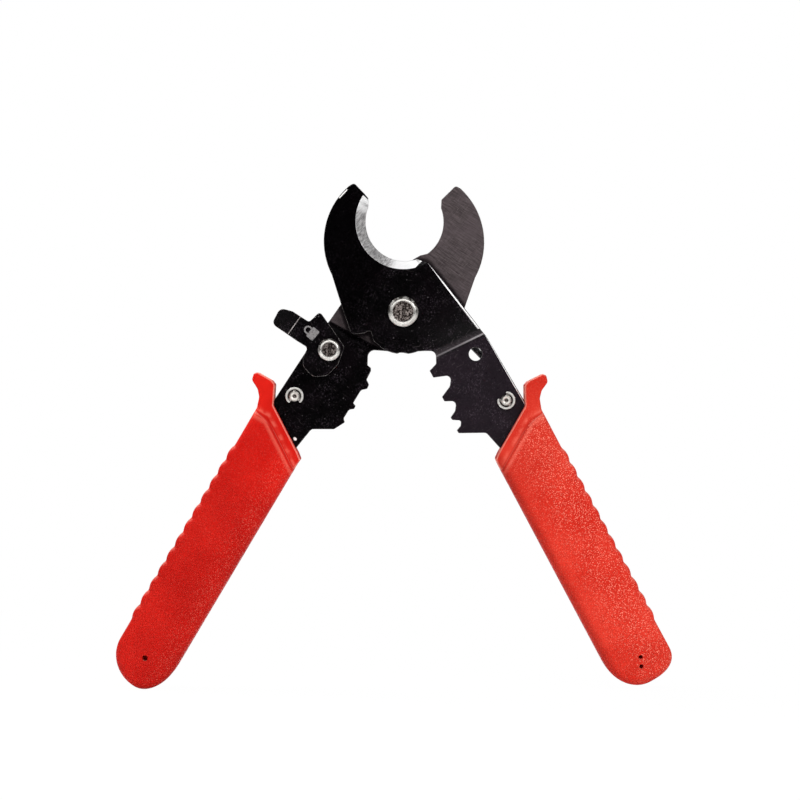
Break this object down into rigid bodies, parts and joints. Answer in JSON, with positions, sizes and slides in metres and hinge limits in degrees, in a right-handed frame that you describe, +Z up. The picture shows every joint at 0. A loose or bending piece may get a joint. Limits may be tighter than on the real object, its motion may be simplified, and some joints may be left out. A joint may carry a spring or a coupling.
{
  "type": "hand cable cutter",
  "caption": "Hand cable cutter with round cutting jaws, hinged handles with hooked inner teeth, ribbed red sleeves with finger stops, a torsion return spring and a thumb lock lever.",
  "frame": {"origin": "middle of the bottom of the bounding box, level with the ends of the two grips", "axes": "+X runs across the open handles to the right as seen from the front, +Y runs into the tool along the rivets away from the viewer, +Z runs up towards the jaw tips"},
  "size_m": [0.1604, 0.0162, 0.1457],
  "materials": {
    "front_arm_black_oxide": "semi-gloss black oxide with a ground bevel at the cutting edge",
    "rear_arm_black_oxide": "satin black oxide, brown-grey on the jaw, ground bevel at the cutting edge",
    "lever_black_oxide": "semi-gloss black oxide",
    "rivet_nickel": "nickel-plated, bright chamfer and matt end",
    "post_nickel": "nickel-plated",
    "clip_nickel": "nickel-plated spring steel",
    "washer_steel": "plain steel",
    "bush_steel": "turned steel",
    "spring_steel": "oil-tempered spring wire",
    "left_grip_vinyl": "soft moulded vinyl, fine pebble grain",
    "right_grip_vinyl": "soft moulded vinyl, fine pebble grain"
  },
  "bodies": {
    "rear_arm_body": {"rear_arm": "rear_arm_black_oxide", "pivot_rivet": "rivet_nickel", "spring_bush": "bush_steel", "pivot_washer": "washer_steel", "return_spring": "spring_steel", "left_spring_post": "post_nickel", "left_e_clip": "clip_nickel", "lock_rivet": "rivet_nickel", "lock_wave_washer": "washer_steel", "left_grip": "left_grip_vinyl"},
    "front_arm_body": {"front_arm": "front_arm_black_oxide", "right_spring_post": "post_nickel", "right_e_clip": "clip_nickel", "right_grip": "right_grip_vinyl"},
    "lock_lever_body": {"lock_lever": "lever_black_oxide"}
  },
  "joints": [
    {"name": "jaw_pivot", "type": "hinge", "parent": "rear_arm_body", "child": "front_arm_body", "pos_m": [0.00269, -0.00203, 0.1088], "axis": [0, 1, 0], "range_deg": [0, 52.5], "stiffness_Nm_per_rad": 0.35, "springref_deg": -51.57, "deforming": ["return_spring"]},
    {"name": "lock_lever_pivot", "type": "hinge", "parent": "rear_arm_body", "child": "lock_lever_body", "pos_m": [-0.01861, -0.00203, 0.0978], "axis": [0, 1, 0], "range_deg": [0, 36]}
  ]
}
